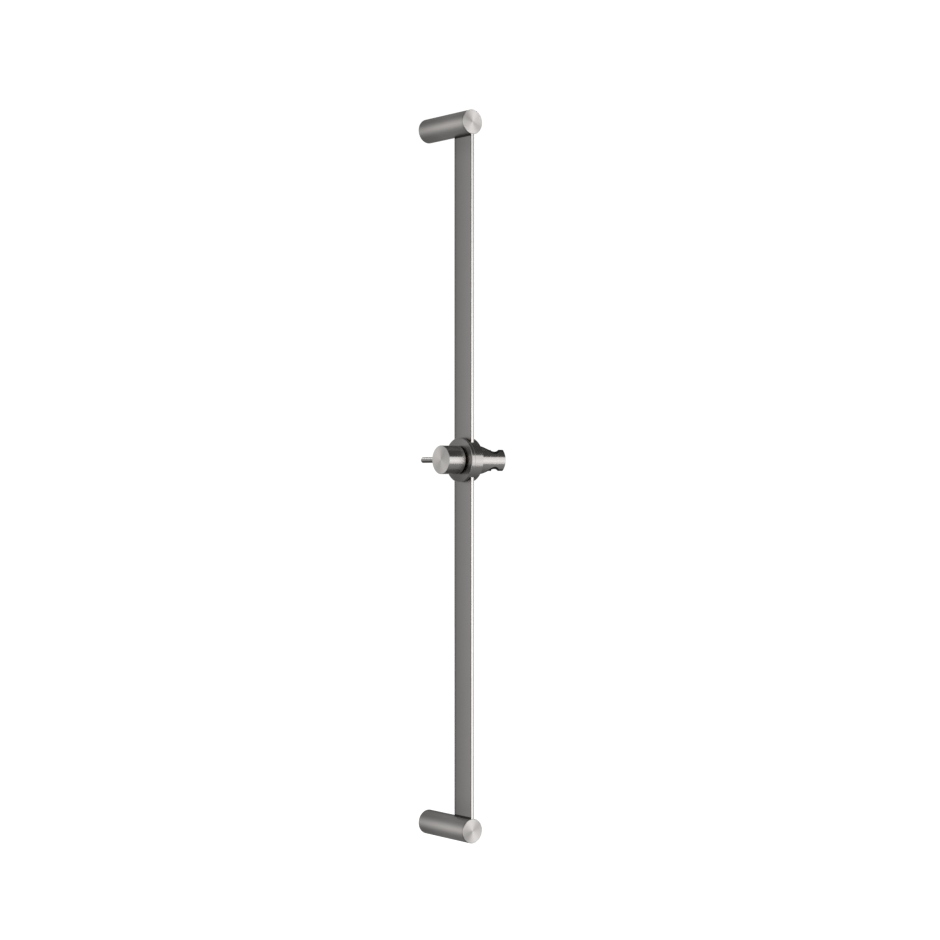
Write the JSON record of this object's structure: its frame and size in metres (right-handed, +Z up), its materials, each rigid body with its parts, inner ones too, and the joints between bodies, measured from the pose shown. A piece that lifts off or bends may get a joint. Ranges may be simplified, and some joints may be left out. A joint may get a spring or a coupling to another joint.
{
  "type": "shower slide rail",
  "caption": "Wall-mounted shower slide rail: a flat bar on round wall posts, with a sliding round clamp, a lever-pin knob and a tilting slotted handset holder.",
  "frame": {"origin": "on the wall plane, midway between the two wall screw holes", "axes": "+Z up along the bar, +Y into the wall, +X from the clamp knob towards the handset holder"},
  "size_m": [0.0711, 0.0816, 0.7242],
  "materials": {
    "bar_steel": "flat bar brushed across its width",
    "post_steel": "turned and brushed round the tube",
    "cap_steel": "turned face with fine circular brushing and a bright chamfer",
    "disc_steel": "turned and brushed round the disc",
    "knob_steel": "turned and brushed, bright edge",
    "holder_steel": "turned and brushed round the cylinder",
    "pin_steel": "ground pin",
    "plain_steel": "plain turned",
    "screw_steel": "plain stainless screw",
    "bush_brass": "turned brass",
    "glide_nylon": "black moulded nylon",
    "lining_nylon": "black moulded nylon",
    "seal_rubber": "moulded rubber"
  },
  "bodies": {
    "rail": {"rail_bar": "bar_steel", "upper_post": "post_steel", "upper_post_cap": "cap_steel", "upper_wall_boss": "plain_steel", "upper_wall_seal": "seal_rubber", "upper_grub_screw": "screw_steel", "lower_post": "post_steel", "lower_post_cap": "cap_steel", "lower_wall_boss": "plain_steel", "lower_wall_seal": "seal_rubber", "lower_grub_screw": "screw_steel"},
    "slider": {"slider_body": "disc_steel", "cover_plate": "disc_steel", "cover_screws": "screw_steel", "left_glide_liner": "glide_nylon", "right_glide_liner": "glide_nylon", "spindle_bush": "bush_brass", "friction_washer": "glide_nylon"},
    "clamp_pad": {"pressure_pad": "glide_nylon"},
    "knob": {"clamp_knob": "knob_steel", "clamp_spindle": "screw_steel", "lever_pin": "pin_steel"},
    "holder": {"handset_holder": "holder_steel", "holder_lining": "lining_nylon", "pivot_screw": "screw_steel"}
  },
  "joints": [
    {"name": "slider_travel", "type": "slide", "parent": "rail", "child": "slider", "axis": [0, 0, 1], "range_m": [-0.3315, 0.2987]},
    {"name": "pad_retract", "type": "slide", "parent": "slider", "child": "clamp_pad", "axis": [-1, 0, 0], "range_m": [0, 0.001]},
    {"name": "knob_turn", "type": "hinge", "parent": "clamp_pad", "child": "knob", "pos_m": [0, -0.05965, 0.0164], "axis": [-1, 0, 0], "range_deg": [0, 360]},
    {"name": "holder_tilt", "type": "hinge", "parent": "slider", "child": "holder", "pos_m": [0, -0.05965, 0.0164], "axis": [1, 0, 0], "continuous": true}
  ],
  "couplings": [
    {"joint": "pad_retract", "follows": "knob_turn", "m_per_rad": 0.00015915}
  ]
}
